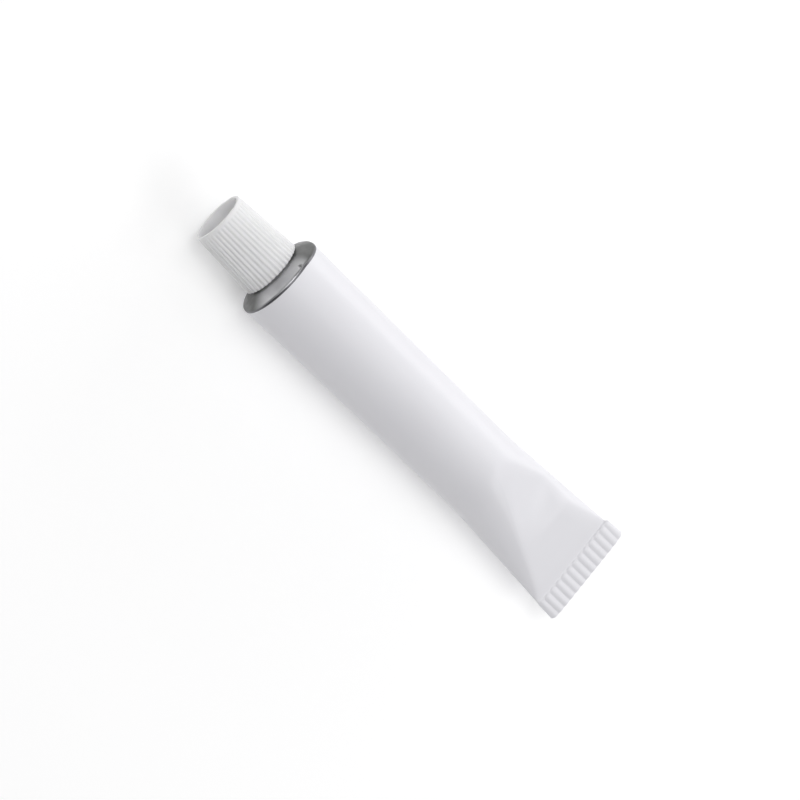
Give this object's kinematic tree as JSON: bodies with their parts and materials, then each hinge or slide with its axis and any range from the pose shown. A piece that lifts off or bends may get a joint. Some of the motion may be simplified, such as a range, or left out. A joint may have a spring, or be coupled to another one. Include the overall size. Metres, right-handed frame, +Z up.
{
  "type": "silicone adhesive tube",
  "caption": "Round soft-metal tube of adhesive with a flattened, ridge-crimped tail, a bare conical shoulder and a ribbed, tapered screw cap with a recessed top.",
  "frame": {"origin": "under the middle of the whole length, on the surface that the tube lies on", "axes": "+X along the tube from the cap to the crimped tail, +Z up and square to the crimped strip, +Y across the strip"},
  "size_m": [0.1154, 0.0248, 0.0187],
  "materials": {
    "white_enamel": "satin white enamel on aluminium, bare on the shoulder and neck",
    "white_plastic": "moulded white plastic, satin"
  },
  "bodies": {
    "tube": {"tube": "white_enamel"},
    "cap": {"cap": "white_plastic"}
  },
  "joints": [
    {"name": "cap_removal", "type": "slide", "parent": "tube", "child": "cap", "axis": [-1, 0, 0], "range_m": [0, 0.02]}
  ]
}
